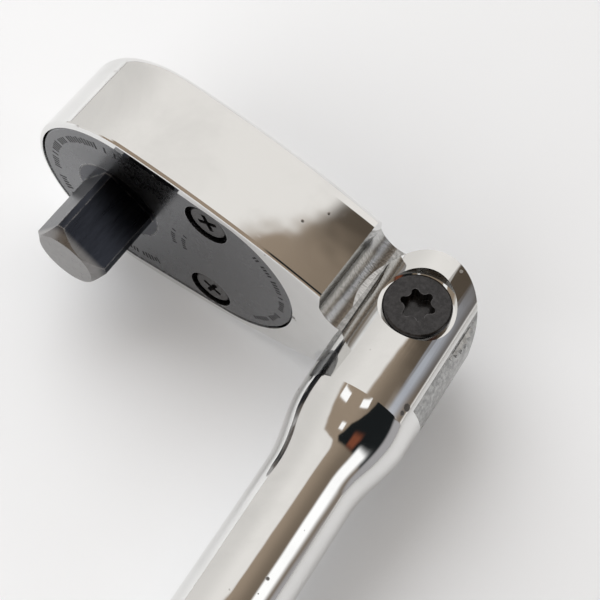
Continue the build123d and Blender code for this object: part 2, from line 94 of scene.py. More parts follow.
# ---- What a user can change ----
class RatchetHeadSizes(bpy.types.PropertyGroup):
    tip_radius: length("Tip radius", 16.2, "Radius of the head's round tip")
    tip_offset: length("Tip offset", 1.9, "From the drive axis to the centre of the tip, towards the handle")
    flank_start: angle("Flank start", 2.5, "How far past the widest point the flank begins")
    back_rounding: length("Back rounding", 2.2, "Rounding of the rim on the lever side")
    face_rounding: length("Face rounding", 0.45, "Rounding of the rim on the drive side")
    neck_x: length("Neck step", 34.7, "From the drive axis to the step of the neck")
    neck_half_width: length("Neck half width", 10.4, "Half the head's width at the step")
    ramp_half_width: length("Ramp half width", 7.1, "Half the width where the ramp meets the step")
    ramp_start: length("Ramp start", 7.5, "From the pivot to where the tang begins to thicken")
    tang_half: length("Tang half thickness", 4.4, "Half the thickness of the flat tang")
    tang_radius: length("Tang radius", 7.85, "Radius of the tang's round end")
    swing_radius: length("Swing cut", 8.45, "Radius of the cut that lets the yoke's ears swing")
    notch_radius: length("Notch radius", 0.45, "Radius of the fine notches round the tang")
    notch_angle: angle("Notch angle", 87 / 11, "Angle between two notches")
    recess_depth: length("Recess depth", 2.75, "Face to the ledge that carries the cover plate")
    recess_tip_radius: length("Recess tip radius", 14.75, "Tip radius of the plate's recess")
    recess_tip_x: length("Recess tip centre", 1.1, "Centre of the recess's tip")
    recess_end_radius: length("Recess end radius", 13.15, "End radius of the plate's recess")
    recess_end_x: length("Recess end centre", 17.4, "Centre of the recess's end")
    floor_depth: length("Floor depth", 10.1, "Face to the floor of the gear's cavity")
    cavity_radius: length("Cavity radius", 12.0, "Room for the gear")
    pocket_radius: length("Pocket radius", 15.1, "Room for the pawl's arms")
    pocket_angle: angle("Pocket angle", 41.5, "Half the angle of the pawl's pocket")
    selector_x: length("Selector axis", 23.4, "From the drive axis to the selector's axis")
    selector_room: length("Selector room", 5.0, "Radius of the room round the spindle")
    plunger_room: length("Plunger room", 6.4, "Radius that the selector's plunger sweeps")
    throat_half_width: length("Throat half width", 5.2, "Half the width between pawl and selector")
    spindle_bore: length("Spindle bore", 3.96, "Radius of the selector's bore")
    journal_bore: length("Journal bore", 5.66, "Radius of the drive's rear bore")
    journal_depth: length("Journal depth", 2.7, "Depth of the drive's rear bore")
    pin_x: length("Pawl pin", 15.4, "From the drive axis to the pawl's pin")
    pin_radius: length("Pin radius", 1.5, "Radius of the pawl's pin")
    screw_x: length("Cover screws", 16.05, "From the drive axis to the cover screws")
    screw_spread: length("Screw spread", 9.52, "From the centre line to each cover screw")
    screw_bore: length("Screw bore", 1.52, "Radius of each screw's hole")
    pivot_bore: length("Pivot bore", 3.46, "Radius of the hole for the pivot screw")


class RatchetHandleSizes(bpy.types.PropertyGroup):
    barrel_radius: length("Barrel radius", 8.3, "Radius of the yoke")
    barrel_length: length("Barrel length", 14.8, "From the pivot to the ridge of the yoke")
    slot_half: length("Slot half width", 4.81, "Half the width of the yoke's slot")
    slot_depth: length("Slot depth", 12.3, "From the pivot to the bottom of the slot")
    ear_rounding: length("Ear rounding", 0.5, "Rounding of the slot's edges")
    end_rounding: length("End rounding", 0.7, "Rounding of the ears' outer edges")
    shank_radius: length("Shank radius", 6.47, "Radius of the plain shank")
    shoulder_length: length("Shoulder length", 12.2, "From the ridge to the plain shank")
    scoop_length: length("Scoop length", 8.2, "Length of the hollow above and below")
    flank_length: length("Flank length", 1.2, "How far the barrel's width runs on at the flanks")
    swell_start: length("Swell start", 75.0, "From the pivot to where the shank begins to swell")
    swell_length: length("Swell length", 18.0, "Length of the swell up to the grip")
    grip_radius: length("Grip radius", 8.7, "Radius of the grip")
    ring_start: length("First ring", 96.0, "From the pivot to the first ring of the grip")
    ring_end: length("Last ring", 179.0, "From the pivot to the last ring of the grip")
    ring_radius: length("Ring radius", 0.9, "Radius of the rings' round section")
    ring_lift: length("Ring lift", 0.36, "How far the rings' section centre stands off the grip")
    total_length: length("Length", 190.0, "From the pivot to the end of the grip")
    end_radius: length("End radius", 5.0, "Rounding of the grip's end")
    pivot_x: length("Pivot X", 45.1, "Place of the flex pivot along X")
    pivot_y: length("Pivot Y", 19.45, "Place of the flex pivot along Y")
    bend: angle("Bend", 87.0, "Angle of the handle from straight")
    screw_floor: length("Screw seat", 6.1, "From the centre plane to the seat of the pivot screw's head")
    screw_bore: length("Screw bore", 3.46, "Radius of the pivot screw's hole")
    screw_counterbore: length("Counterbore", 5.3, "Radius of the pivot screw's counterbore")
    thread_bore: length("Thread bore", 2.52, "Radius of the far ear's threaded hole")
    plunger_bore: length("Plunger bore", 1.86, "Radius of the flex plunger's bore")
    plunger_depth: length("Plunger depth", 12.0, "Depth of the flex plunger's bore")


class RatchetFinishes(bpy.types.PropertyGroup):
    chrome: colour("Chrome", (0.80, 0.80, 0.79), "Colour of the polished plating")
    chrome_roughness: share("Chrome roughness", 0.045, "Roughness of the polished plating")
    plate: colour("Plate", (0.165, 0.168, 0.175), "Colour of the phosphated cover plate")
    marks: colour("Marks", (0.02, 0.02, 0.022), "Colour of the etched ticks on the plate")
    drive: colour("Drive", (0.030, 0.033, 0.042), "Colour of the hardened drive")
    worn_drive: colour("Worn drive", (0.32, 0.31, 0.30), "Colour of the drive's rubbed edges")
    black: colour("Black", (0.030, 0.029, 0.030), "Colour of the blackened screws")
    steel: colour("Steel", (0.52, 0.52, 0.53), "Colour of the plain steel pieces")
    rubber: colour("Rubber", (0.02, 0.02, 0.021), "Colour of the seal rings")


class RatchetStudio(bpy.types.PropertyGroup):
    camera_place: FloatVectorProperty(
        name="Camera place",
        description="Where the camera stands",
        default=(0.074623, -0.055329, 0.166965),
        subtype="TRANSLATION",
        unit="LENGTH",
        precision=5,
    )
    camera_turn: FloatVectorProperty(
        name="Camera turn",
        description="How the camera is turned",
        default=tuple(math.radians(a) for a in (26.2356, -1.2910, 35.3000)),
        subtype="EULER",
    )
    camera_lens: FloatProperty(name="Lens", description="Focal length in millimetres", default=81.03)
    floor_size: length("Floor size", 2000.0, "Half the floor's width")
    floor_drop: length("Floor drop", 16.3, "How far the floor lies below the head's centre line")
    floor_front: length("Floor hinge", 12.0, "Where the floor's slope is measured from, along Y")
    floor_slope: share("Floor slope", 0.0415, "Rise of the floor towards the grip")
    floor: colour("Floor", (0.86, 0.88, 0.905), "Colour of the floor")
    sky: colour("Sky", (0.93, 0.905, 0.875), "Colour of the pale wall")
    room: colour("Room", (0.36, 0.285, 0.215), "Colour of the ceiling")
    sky_strength: FloatProperty(name="Sky strength", description="Brightness of the room", default=1.0)
    key_power: power("Key light", 3.3, "Power of the large soft light")
    fill_power: power("Fill light", 3.9, "Power of the fill light")


def in_millimetres(group):
    """The sizes of a property group as plain numbers, with every length in millimetres."""
    sizes = SimpleNamespace()
    for key, prop in group.bl_rna.properties.items():
        if key in ("rna_type", "name"):
            continue
        value = getattr(group, key)
        setattr(sizes, key, value / MM if prop.unit == "LENGTH" else value)
    return sizes


# ---- Mesh tools, all in millimetres ----
def place(bm, matrix):
    bmesh.ops.transform(bm, matrix=matrix, verts=bm.verts[:])
    return bm


def only(kind, items):
    """The vertices or edges among what an operator made."""
    return [item for item in items if isinstance(item, kind)]


def arc(bm, vert, centre, turn, steps, axis=(0, 1, 0)):
    """Spins a vertex into an arc of edges and gives its last vertex."""
    made = bmesh.ops.spin(
        bm, geom=[vert], cent=centre, axis=axis, dvec=(0, 0, 0), angle=turn, steps=steps, use_duplicate=False
    )
    return only(bmesh.types.BMVert, made["geom_last"])[0]


def line(bm, vert, point):
    """Draws a straight edge from a vertex to a point."""
    end = bm.verts.new(point)
    bm.edges.new((vert, end))
    return end


def raise_outline(bm, offset):
    """Extrudes the one flat face of a mesh into a solid."""
    made = bmesh.ops.extrude_face_region(bm, geom=bm.faces[:])
    bmesh.ops.translate(bm, verts=only(bmesh.types.BMVert, made["geom"]), vec=offset)
    bmesh.ops.recalc_face_normals(bm, faces=bm.faces[:])
    return bm


def solid_outline(bm, y_from, y_to):
    """Fills an outline drawn in X and Z, and raises it along the drive's axis."""
    bmesh.ops.remove_doubles(bm, verts=bm.verts[:], dist=0.001)
    bmesh.ops.contextual_create(bm, geom=bm.edges[:])
    if len(bm.faces) != 1:
        raise RuntimeError("an outline didn't close")
    place(bm, Matrix.Translation((0, y_from, 0)))
    return raise_outline(bm, (0, y_to - y_from, 0))


def round_edges(bm, edges, offset, segments):
    shape = {"offset_type": "OFFSET", "affect": "EDGES", "profile": 0.5, "material": -1}
    bmesh.ops.bevel(bm, geom=edges, offset=offset, segments=segments, clamp_overlap=True, **shape)


def creased(bm, wanted):
    """The sharp edges of a solid that a test picks."""
    sharp = [e for e in bm.edges if len(e.link_faces) == 2 and e.calc_face_angle(0) > CREASE]
    return [e for e in sharp if wanted(e)]


def drum(radius, y_from, y_to, x=0.0, z=0.0, steps=ROUND_STEPS):
    """A round solid along the drive's axis."""
    bm = bmesh.new()
    bmesh.ops.create_circle(bm, cap_ends=True, segments=steps, radius=radius)
    place(bm, Matrix.Translation((x, y_from, z)) @ Matrix.Rotation(math.pi / 2, 4, "X"))
    return raise_outline(bm, (0, y_to - y_from, 0))


def post(radius, z_from, z_to, x=0.0, y=0.0, steps=ROUND_STEPS):
    """A round solid that stands along Z."""
    bm = bmesh.new()
    bmesh.ops.create_circle(bm, cap_ends=True, segments=steps, radius=radius)
    place(bm, Matrix.Translation((x, y, z_from)))
    return raise_outline(bm, (0, 0, z_to - z_from))


def block(low, high):
    bm = bmesh.new()
    bmesh.ops.create_cube(bm, size=1.0)
    low, high = Vector(low), Vector(high)
    scale = Matrix.Diagonal((*(high - low), 1.0))
    return place(bm, Matrix.Translation((low + high) / 2) @ scale)


def join(solids):
    """Puts several meshes that don't touch into one, for a single cut."""
    whole = bmesh.new()
    for solid in solids:
        mesh = bpy.data.meshes.new("part")
        solid.to_mesh(mesh)
        solid.free()
        whole.from_mesh(mesh)
        bpy.data.meshes.remove(mesh)
    return whole


def mesh_object(name, bm):
    mesh = bpy.data.meshes.new(name)
    bm.to_mesh(mesh)
    bm.free()
    piece = bpy.data.objects.new(name, mesh)
    bpy.context.scene.collection.objects.link(piece)
    return piece


def combine(piece, tool, operation):
    """Cuts, adds or keeps what a tool mesh covers, and removes the tool."""
    cutter = mesh_object("tool", tool)
    boolean = piece.modifiers.new("combine", "BOOLEAN")
    boolean.operation, boolean.solver, boolean.object = operation, "EXACT", cutter
    evaluated = piece.evaluated_get(bpy.context.evaluated_depsgraph_get())
    result = bpy.data.meshes.new_from_object(evaluated)
    piece.modifiers.clear()
    old = piece.data
    piece.data = result
    result.name = piece.name
    bpy.data.meshes.remove(old)
    spare = cutter.data
    bpy.data.objects.remove(cutter)
    bpy.data.meshes.remove(spare)


def edit(piece, change):
    """Runs a change on a piece's mesh."""
    bm = bmesh.new()
    bm.from_mesh(piece.data)
    change(bm)
    bm.to_mesh(piece.data)
    bm.free()


def finish_piece(piece, body, node, matrix=Matrix.Identity(4)):
    """Puts a mesh made in millimetres in its place, shades it and hands it to its body."""
    if not piece.data.polygons:
        raise RuntimeError(f"{piece.name} has no faces")
    piece.data.transform(Matrix.Scale(MM, 4) @ matrix)
    edit(piece, lambda bm: bmesh.ops.dissolve_degenerate(bm, dist=1e-7, edges=bm.edges[:]))
    piece.data.shade_smooth()
    piece.data.set_sharp_from_angle(angle=SHARP_ANGLE)
    weighted = piece.modifiers.new("even shading", "WEIGHTED_NORMAL")
    weighted.keep_sharp = True
    weighted.weight = 50
    indices = [face.material_index for face in piece.data.polygons]
    piece.data.materials.clear()
    for name in FORGING_FINISHES:
        piece.data.materials.append(finish_named(name))
    piece.data.polygons.foreach_set("material_index", indices)
    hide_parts(node)
    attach(piece, body)


# ---- Shader tools ----
def new_group(name, inputs, outputs):
    """A shader node group with a vector and numbers as inputs, and its two ends."""
    tree = bpy.data.node_groups.new(name, "ShaderNodeTree")
    tree.interface.new_socket("Vector", in_out="INPUT", socket_type="NodeSocketVector")
    for socket, default in inputs.items():
        made = tree.interface.new_socket(socket, in_out="INPUT", socket_type="NodeSocketFloat")
        made.default_value = default
    for socket in outputs:
        tree.interface.new_socket(socket, in_out="OUTPUT", socket_type="NodeSocketFloat")
    return tree, tree.nodes.new("NodeGroupInput"), tree.nodes.new("NodeGroupOutput")


def feed(made, **inputs):
    """Sets or links a node's inputs by name."""
    for key, value in inputs.items():
        plug(made.inputs[key.replace("_", " ")], value)


def plug(socket, value):
    """Links a socket to an input, or sets the input to a number, a vector or a colour."""
    if isinstance(value, bpy.types.NodeSocket):
        socket.id_data.links.new(value, socket)
    elif socket.type == "RGBA" and len(value) == 3:
        socket.default_value = (*value, 1.0)
    else:
        socket.default_value = value


def node(tree, kind, settings=None, **inputs):
    """Adds a node, sets its properties, and feeds its inputs."""
    made = tree.nodes.new(kind)
    for key, value in (settings or {}).items():
        setattr(made, key, value)
    feed(made, **inputs)
    return made


def maths(tree, operation, *values):
    """A math node on numbers or sockets."""
    made = node(tree, "ShaderNodeMath", {"operation": operation})
    for socket, value in zip(made.inputs, (*values, 0.0, 0.0)):
        plug(socket, value)
    return made.outputs[0]


def times(tree, first, second):
    return maths(tree, "MULTIPLY", first, second)


def scaled(tree, value, factor, base):
    """A value times a factor, on top of a base."""
    return maths(tree, "MULTIPLY_ADD", value, factor, base)


def highest(tree, first, *others):
    for other in others:
        first = maths(tree, "MAXIMUM", first, other)
    return first


def ramp(tree, value, low, high):
    """A smooth step from 0 at low to 1 at high."""
    smooth = {"interpolation_type": "SMOOTHSTEP"}
    made = node(tree, "ShaderNodeMapRange", smooth, Value=value, From_Min=low, From_Max=high)
    return made.outputs["Result"]


def blend_colours(tree, mask, first, second):
    """Mixes two colours, given as sockets or numbers, by a mask."""
    made = node(tree, "ShaderNodeMix", {"data_type": "RGBA"})
    for index, value in ((0, mask), (6, first), (7, second)):
        plug(made.inputs[index], value)
    return made.outputs[2]


def shaded(colour_value, share_of):
    """A colour made darker or lighter."""
    return tuple(share_of * channel for channel in colour_value)


def noise_of(tree, vector, scale, detail=3.0, roughness=0.55, distortion=0.0):
    look = {"Detail": detail, "Roughness": roughness, "Distortion": distortion}
    return node(tree, "ShaderNodeTexNoise", Vector=vector, Scale=scale, **look).outputs["Fac"]


def stretched(tree, vector, scale, turn=(0, 0, 0)):
    """Coordinates stretched, and turned, for strokes and grain that run one way."""
    return node(tree, "ShaderNodeMapping", Vector=vector, Rotation=turn, Scale=scale).outputs[0]


def make_handling_wear():
    """Scratches, specks and smudges that handling leaves, as masks."""
    tree, start, end = new_group("handling wear", {}, ("Scratches", "Specks", "Smudges", "Waves"))
    vector = start.outputs["Vector"]
    streaks = noise_of(tree, stretched(tree, vector, (60, 900, 2600), (0.4, 1.1, 0.3)), 1.0, 2.0)
    crossed = noise_of(tree, stretched(tree, vector, (80, 2400, 700), (1.3, 0.2, 0.9)), 1.0, 2.0)
    patches = ramp(tree, noise_of(tree, vector, 140.0), 0.45, 0.7)
    fine = highest(tree, ramp(tree, streaks, 0.70, 0.78), ramp(tree, crossed, 0.72, 0.8))
    cells = node(tree, "ShaderNodeTexVoronoi", Vector=vector, Scale=420.0, Randomness=1.0)
    size = noise_of(tree, vector, 230.0, 1.0)
    limit = times(tree, ramp(tree, size, 0.56, 0.75), 0.26)
    near = maths(tree, "SUBTRACT", limit, cells.outputs["Distance"])
    smudges = ramp(tree, noise_of(tree, vector, 75.0, 5.0, 0.6, 0.4), 0.42, 0.72)
    feed(end, Scratches=times(tree, fine, patches), Specks=ramp(tree, near, 0.0, 0.05))
    feed(end, Smudges=smudges, Waves=noise_of(tree, vector, 190.0, 1.0))
    return tree


def make_edge_wear():
    """A mask of the edges that rub bright, broken up by grain."""
    tree, start, end = new_group("edge wear", {"Radius": 0.0003}, ("Wear",))
    rounded = node(tree, "ShaderNodeBevel", {"samples": 6}, Radius=start.outputs["Radius"])
    true_normal = node(tree, "ShaderNodeNewGeometry")
    facing = node(tree, "ShaderNodeVectorMath", {"operation": "DOT_PRODUCT"})
    plug(facing.inputs[0], rounded.outputs["Normal"])
    plug(facing.inputs[1], true_normal.outputs["Normal"])
    edge = ramp(tree, maths(tree, "SUBTRACT", 1.0, facing.outputs["Value"]), 0.01, 0.12)
    broken = ramp(tree, noise_of(tree, start.outputs["Vector"], 900.0, 4.0), 0.35, 0.6)
    feed(end, Wear=times(tree, edge, broken))
    return tree


def make_tick_arc():
    """Short radial ticks of uneven spacing on an arc about a centre, in X and Z."""
    sizes = {"Centre": 0.0, "Radius": 0.0125, "Height": 0.0012, "Side": -1.0, "Reach": 0.2, "Pitch": 0.0006}
    tree, start, end = new_group("tick arc", sizes, ("Ticks",))
    given = start.outputs
    split = node(tree, "ShaderNodeSeparateXYZ", Vector=given["Vector"])
    x = maths(tree, "SUBTRACT", split.outputs["X"], given["Centre"])
    z = split.outputs["Z"]
    radius = maths(tree, "SQRT", scaled(tree, x, x, times(tree, z, z)))
    turn = maths(tree, "ARCTAN2", z, times(tree, x, given["Side"]))
    around = times(tree, turn, maths(tree, "DIVIDE", given["Radius"], given["Pitch"]))
    place_on = node(tree, "ShaderNodeCombineXYZ", X=around)
    stroke = ramp(tree, maths(tree, "PINGPONG", around, 0.5), 0.16, 0.22)
    cell = node(tree, "ShaderNodeVectorMath", {"operation": "FLOOR"})
    plug(cell.inputs[0], place_on.outputs[0])
    noise = node(tree, "ShaderNodeTexWhiteNoise", {"noise_dimensions": "3D"}, Vector=cell.outputs[0])
    chance = noise.outputs["Value"]
    kept = maths(tree, "GREATER_THAN", chance, 0.22)
    half = times(tree, times(tree, given["Height"], 0.5), scaled(tree, chance, 0.5, 0.5))
    off = maths(tree, "ABSOLUTE", maths(tree, "SUBTRACT", radius, given["Radius"]))
    band = maths(tree, "LESS_THAN", off, half)
    within = maths(tree, "LESS_THAN", maths(tree, "ABSOLUTE", turn), given["Reach"])
    feed(end, Ticks=times(tree, times(tree, stroke, kept), times(tree, band, within)))
    return tree


GROUP_MAKERS = {
    "handling wear": make_handling_wear,
    "edge wear": make_edge_wear,
    "tick arc": make_tick_arc,
}


def use_group(tree, name, **inputs):
    """Places a shared effect, making its group the first time."""
    group = bpy.data.node_groups.get(name) or GROUP_MAKERS[name]()
    return node(tree, "ShaderNodeGroup", {"node_tree": group}, **inputs)


def new_material(name, **values):
    """A material with its Principled shader and the Object coordinates that its pattern reads."""
    material = bpy.data.materials.new(name)
    material.use_nodes = True
    tree = material.node_tree
    shader = tree.nodes["Principled BSDF"]
    feed(shader, **values)
    coordinates = tree.nodes.new("ShaderNodeTexCoord").outputs["Object"]
    return material, tree, shader, coordinates


def bump(tree, shader, height, strength, distance):
    made = node(tree, "ShaderNodeBump", Height=height, Strength=strength, Distance=distance)
    feed(shader, Normal=made.outputs["Normal"])


def chrome_finish(finish):
    """Bright plating over a hand-polished forging, with a few specks and hairlines."""
    material, tree, shader, where = new_material("polished chrome", Metallic=1.0, Specular_IOR_Level=0.5)
    wear = use_group(tree, "handling wear", Vector=where)
    specked = blend_colours(tree, wear.outputs["Specks"], finish.chrome, (0.16, 0.15, 0.14))
    hazed = blend_colours(tree, wear.outputs["Smudges"], specked, shaded(finish.chrome, 0.93))
    rough = scaled(tree, wear.outputs["Scratches"], 0.10, finish.chrome_roughness)
    rough = scaled(tree, wear.outputs["Smudges"], 0.035, rough)
    rough = scaled(tree, wear.outputs["Specks"], 0.3, rough)
    feed(shader, Base_Color=hazed, Roughness=rough)
    height = scaled(tree, wear.outputs["Specks"], -0.05, wear.outputs["Waves"])
    bump(tree, shader, height, 0.35, 0.00006)
    return material


def machined_finish(finish):
    """The same plating where the cutter's fine strokes were left: the neck of the head."""
    material, tree, shader, where = new_material("machined chrome", Metallic=1.0)
    wear = use_group(tree, "handling wear", Vector=where)
    lines = noise_of(tree, stretched(tree, where, (1500, 5200, 1500)), 1.0, 2.0)
    light, dark = shaded(finish.chrome, 0.75), shaded(finish.chrome, 0.55)
    base = blend_colours(tree, ramp(tree, lines, 0.35, 0.7), light, dark)
    feed(shader, Base_Color=base, Roughness=scaled(tree, wear.outputs["Smudges"], 0.08, 0.22))
    bump(tree, shader, lines, 0.35, 0.00003)
    return material


def plate_finish(finish):
    """Phosphated steel with etched ticks round both ends and short strokes between the screws."""
    material, tree, shader, where = new_material("phosphated steel", Metallic=1.0)
    sizes = in_millimetres(bpy.context.scene.ratchet_head)
    wear = use_group(tree, "handling wear", Vector=where)
    edges = use_group(tree, "edge wear", Vector=where, Radius=0.0002)
    row_centre = sizes.screw_x * MM + 0.001
    drawn = []
    for centre, radius, height, side, reach in (
        (sizes.recess_tip_x * MM, 0.0125, 0.0015, -1.0, 2.0),
        (sizes.recess_end_x * MM, 0.0112, 0.0011, 1.0, 0.95),
        (row_centre, 0.0054, 0.0009, -1.0, 0.42),
        (row_centre, 0.0072, 0.0009, -1.0, 0.42),
    ):
        place_of = {"Centre": centre, "Radius": radius, "Height": height, "Side": side, "Reach": reach}
        drawn.append(use_group(tree, "tick arc", Vector=where, **place_of).outputs["Ticks"])
    ticks = highest(tree, *drawn)
    grain = noise_of(tree, where, 2600.0, 4.0, 0.7)
    base = blend_colours(tree, ramp(tree, grain, 0.3, 0.75), shaded(finish.plate, 0.85), finish.plate)
    rubbed = blend_colours(tree, edges.outputs["Wear"], base, finish.steel)
    marked = blend_colours(tree, ticks, rubbed, finish.marks)
    rough = scaled(tree, ramp(tree, grain, 0.3, 0.8), 0.10, 0.20)
    rough = scaled(tree, wear.outputs["Smudges"], 0.08, rough)
    feed(shader, Base_Color=marked, Roughness=scaled(tree, ticks, 0.25, rough))
    bump(tree, shader, scaled(tree, ticks, -1.5, grain), 0.3, 0.00002)
    return material


def drive_finish(finish):
    """Hardened and blackened steel that has rubbed bright at the corners and the end."""
    material, tree, shader, where = new_material("hardened drive steel", Metallic=1.0)
    wear = use_group(tree, "handling wear", Vector=where)
    edges = use_group(tree, "edge wear", Vector=where, Radius=0.00045)
    split = node(tree, "ShaderNodeSeparateXYZ", Vector=where)
    cone = ramp(tree, split.outputs["Y"], 0.0017, 0.0006)
    brushed = noise_of(tree, stretched(tree, where, (900, 160, 900)), 1.0, 4.0, 0.65)
    rubbed = highest(tree, edges.outputs["Wear"], times(tree, cone, scaled(tree, brushed, 0.5, 0.45)))
    streaks = ramp(tree, brushed, 0.35, 0.7)
    dark = blend_colours(tree, streaks, finish.drive, shaded(finish.drive, 1.6))
    worn = blend_colours(tree, rubbed, dark, finish.worn_drive)
    rough = scaled(tree, wear.outputs["Scratches"], 0.12, scaled(tree, brushed, 0.14, 0.22))
    feed(shader, Base_Color=worn, Roughness=rough)
    bump(tree, shader, brushed, 0.25, 0.00002)
    return material


def black_finish(finish):
    """Blackened, slightly oily screw steel."""
    values = {"Metallic": 0.9, "Coat_Weight": 0.35, "Coat_Roughness": 0.12}
    material, tree, shader, where = new_material("blackened steel", **values)
    edges = use_group(tree, "edge wear", Vector=where, Radius=0.0002)
    grain = noise_of(tree, where, 1800.0, 4.0, 0.7)
    base = blend_colours(tree, ramp(tree, grain, 0.35, 0.75), finish.black, shaded(finish.black, 2.0))
    worn = blend_colours(tree, edges.outputs["Wear"], base, shaded(finish.black, 5.0))
    feed(shader, Base_Color=worn, Roughness=scaled(tree, grain, 0.2, 0.19))
    bump(tree, shader, grain, 0.2, 0.00002)
    return material


def slot_finish(finish):
    """Plating down in the slot and round the tang, darkened as painted shade and mottled as old grease."""
    material, tree, shader, where = new_material("slot plating with grease and painted shade", Metallic=1.0)
    wear = use_group(tree, "handling wear", Vector=where)
    grease_and_painted_shade = noise_of(tree, where, 1400.0, 5.0, 0.65)
    # painted shade: both tones are the chrome darkened to 0.36 and 0.62 to stand in for the shade down in
    # the slot, and the noise between them is grease
    dark, light = shaded(finish.chrome, 0.36), shaded(finish.chrome, 0.62)
    base = blend_colours(tree, ramp(tree, grease_and_painted_shade, 0.35, 0.70), dark, light)
    feed(shader, Base_Color=base, Roughness=scaled(tree, wear.outputs["Smudges"], 0.15, 0.26))
    bump(tree, shader, grease_and_painted_shade, 0.2, 0.00003)
    return material


def steel_finish(finish):
    """Plain ground steel for springs, pins, washers and the ball."""
    material, tree, shader, where = new_material("ground steel", Metallic=1.0)
    grain = noise_of(tree, where, 2200.0, 4.0, 0.6)
    base = blend_colours(tree, grain, shaded(finish.steel, 0.8), finish.steel)
    feed(shader, Base_Color=base, Roughness=scaled(tree, grain, 0.15, 0.14))
    bump(tree, shader, grain, 0.15, 0.00002)
    return material


def rubber_finish(finish):
    """Black sealing rubber with a faint bloom."""
    material, tree, shader, where = new_material("sealing rubber", Metallic=0.0)
    bloom = noise_of(tree, where, 1300.0, 5.0, 0.6)
    base = blend_colours(tree, bloom, finish.rubber, shaded(finish.rubber, 2.2))
    feed(shader, Base_Color=base, Roughness=scaled(tree, bloom, 0.2, 0.5))
    bump(tree, shader, bloom, 0.2, 0.00002)
    return material


FINISH_MAKERS = {
    "polished chrome": chrome_finish,
    "machined chrome": machined_finish,
    "phosphated steel": plate_finish,
    "hardened drive steel": drive_finish,
    "blackened steel": black_finish,
    "ground steel": steel_finish,
    "slot plating with grease and painted shade": slot_finish,
    "sealing rubber": rubber_finish,
}
FORGING_FINISHES = ("polished chrome", "machined chrome", "slot plating with grease and painted shade")
NODE_FINISHES = {
    "phosphated steel": ("cover_plate",),
    "hardened drive steel": ("drive_gear", "pawl", "selector_lever"),
    "blackened steel": ("pivot_screw", "cover_screws", "selector_clip"),
    "ground steel": (
        "drive_ball",
        "ball_spring",
        "friction_washers",
        "flex_plunger",
        "flex_spring",
        "pawl_pin",
        "selector_plunger",
        "selector_spring",
        "thrust_washer",
    ),
    "sealing rubber": ("drive_seal", "selector_seal"),
}


def finish_named(name):
    """A finish, made the first time it is asked for."""
    return bpy.data.materials.get(name) or FINISH_MAKERS[name](bpy.context.scene.ratchet_finishes)


# ---- Head ----
def head_blank(size, face_y, back_y):
    """The teardrop forging before anything is cut into it."""
    bm = bmesh.new()
    turn = size.flank_start
    start = Vector((size.tip_offset + size.tip_radius * math.sin(turn), 0, size.tip_radius * math.cos(turn)))
    corner = Vector((size.neck_x, 0, size.neck_half_width))
    inward = Vector((-math.sin(turn), 0, -math.cos(turn)))
    chord = corner - start
    flank_radius = chord.length_squared / (2 * chord.dot(inward))
    centre = start + inward * flank_radius
    sweep = 2 * math.asin(chord.length / (2 * flank_radius))
    vert = bm.verts.new(corner)
    vert = arc(bm, vert, centre, -sweep, 32)
    vert = arc(bm, vert, (size.tip_offset, 0, 0), -(math.pi + 2 * turn), ROUND_STEPS)
    arc(bm, vert, Vector((centre.x, 0, -centre.z)), -sweep, 32)
    solid_outline(bm, face_y, back_y)

    def rim(y):
        on_rim = [e for e in bm.edges if all(abs(v.co.y - y) < 1e-3 for v in e.verts)]
        return [e for e in on_rim if any(v.co.x < size.neck_x - 1e-2 for v in e.verts)]

    round_edges(bm, rim(back_y), size.back_rounding, 10)
    round_edges(bm, rim(face_y), size.face_rounding, 3)
    return bm


def neck_blank(size, pivot_x, face_y, back_y):
    """The ramps that narrow the head to its tang."""
    bm = bmesh.new()
    root_x = size.neck_x - CLEAR
    ramp_end = Vector((pivot_x - size.ramp_start, 0, size.tang_half))
    ramp_root = Vector((size.neck_x, 0, size.ramp_half_width))
    chord = ramp_root - ramp_end
    across = Vector((chord.z, 0, -chord.x)).normalized()
    if across.z < 0:
        across = -across
    sag = RAMP_SAG * chord.length
    radius = (chord.length / 2) ** 2 / (2 * sag) + sag / 2
    centre = (ramp_end + ramp_root) / 2 + across * (radius - sag)
    sweep = 2 * math.asin(chord.length / (2 * radius))
    vert = bm.verts.new((pivot_x, 0, size.tang_half))
    vert = line(bm, vert, ramp_end)
    turned = Matrix.Rotation(sweep, 3, (0, 1, 0)) @ (ramp_end - centre) + centre
    sign = 1 if (turned - ramp_root).length < 0.01 else -1
    vert = arc(bm, vert, centre, sign * sweep, 14)
    line(bm, vert, (root_x, 0, size.ramp_half_width))
    half = bm.verts[:] + bm.edges[:]
    bmesh.ops.mirror(bm, geom=half, matrix=Matrix.Identity(4), merge_dist=1e-4, axis="Z")
    for x in (pivot_x, root_x):
        ends = [v for v in bm.verts if abs(v.co.x - x) < 1e-3]
        bm.edges.new(ends)
    return solid_outline(bm, face_y, back_y)


def hull_drum(radius, x, end_radius, end_x, y_from, y_to):
    """Two rounds and the straight flanks that touch both, raised along the drive's axis."""
    bm = bmesh.new()
    lean = math.asin((radius - end_radius) / (end_x - x))
    top = Vector((x + radius * math.sin(lean), 0, radius * math.cos(lean)))
    vert = bm.verts.new(top)
    vert = arc(bm, vert, (x, 0, 0), -(math.pi + 2 * lean), ROUND_STEPS)
    end_bottom = Vector((end_x + end_radius * math.sin(lean), 0, -end_radius * math.cos(lean)))
    vert = line(bm, vert, end_bottom)
    vert = arc(bm, vert, (end_x, 0, 0), -(math.pi - 2 * lean), ROUND_STEPS)
    bm.edges.ensure_lookup_table()
    bm.edges.new((vert, bm.verts[:][0]))
    return solid_outline(bm, y_from, y_to)


def pocket_drum(radius, half_angle, y_from, y_to):
    """A slice of a round about the drive's axis, towards the handle."""
    bm = bmesh.new()
    vert = bm.verts.new((0, 0, 0))
    vert = line(bm, vert, (radius * math.cos(half_angle), 0, radius * math.sin(half_angle)))
    vert = arc(bm, vert, (0, 0, 0), 2 * half_angle, 40)
    bm.edges.new((vert, bm.verts[:][0]))
    return solid_outline(bm, y_from, y_to)


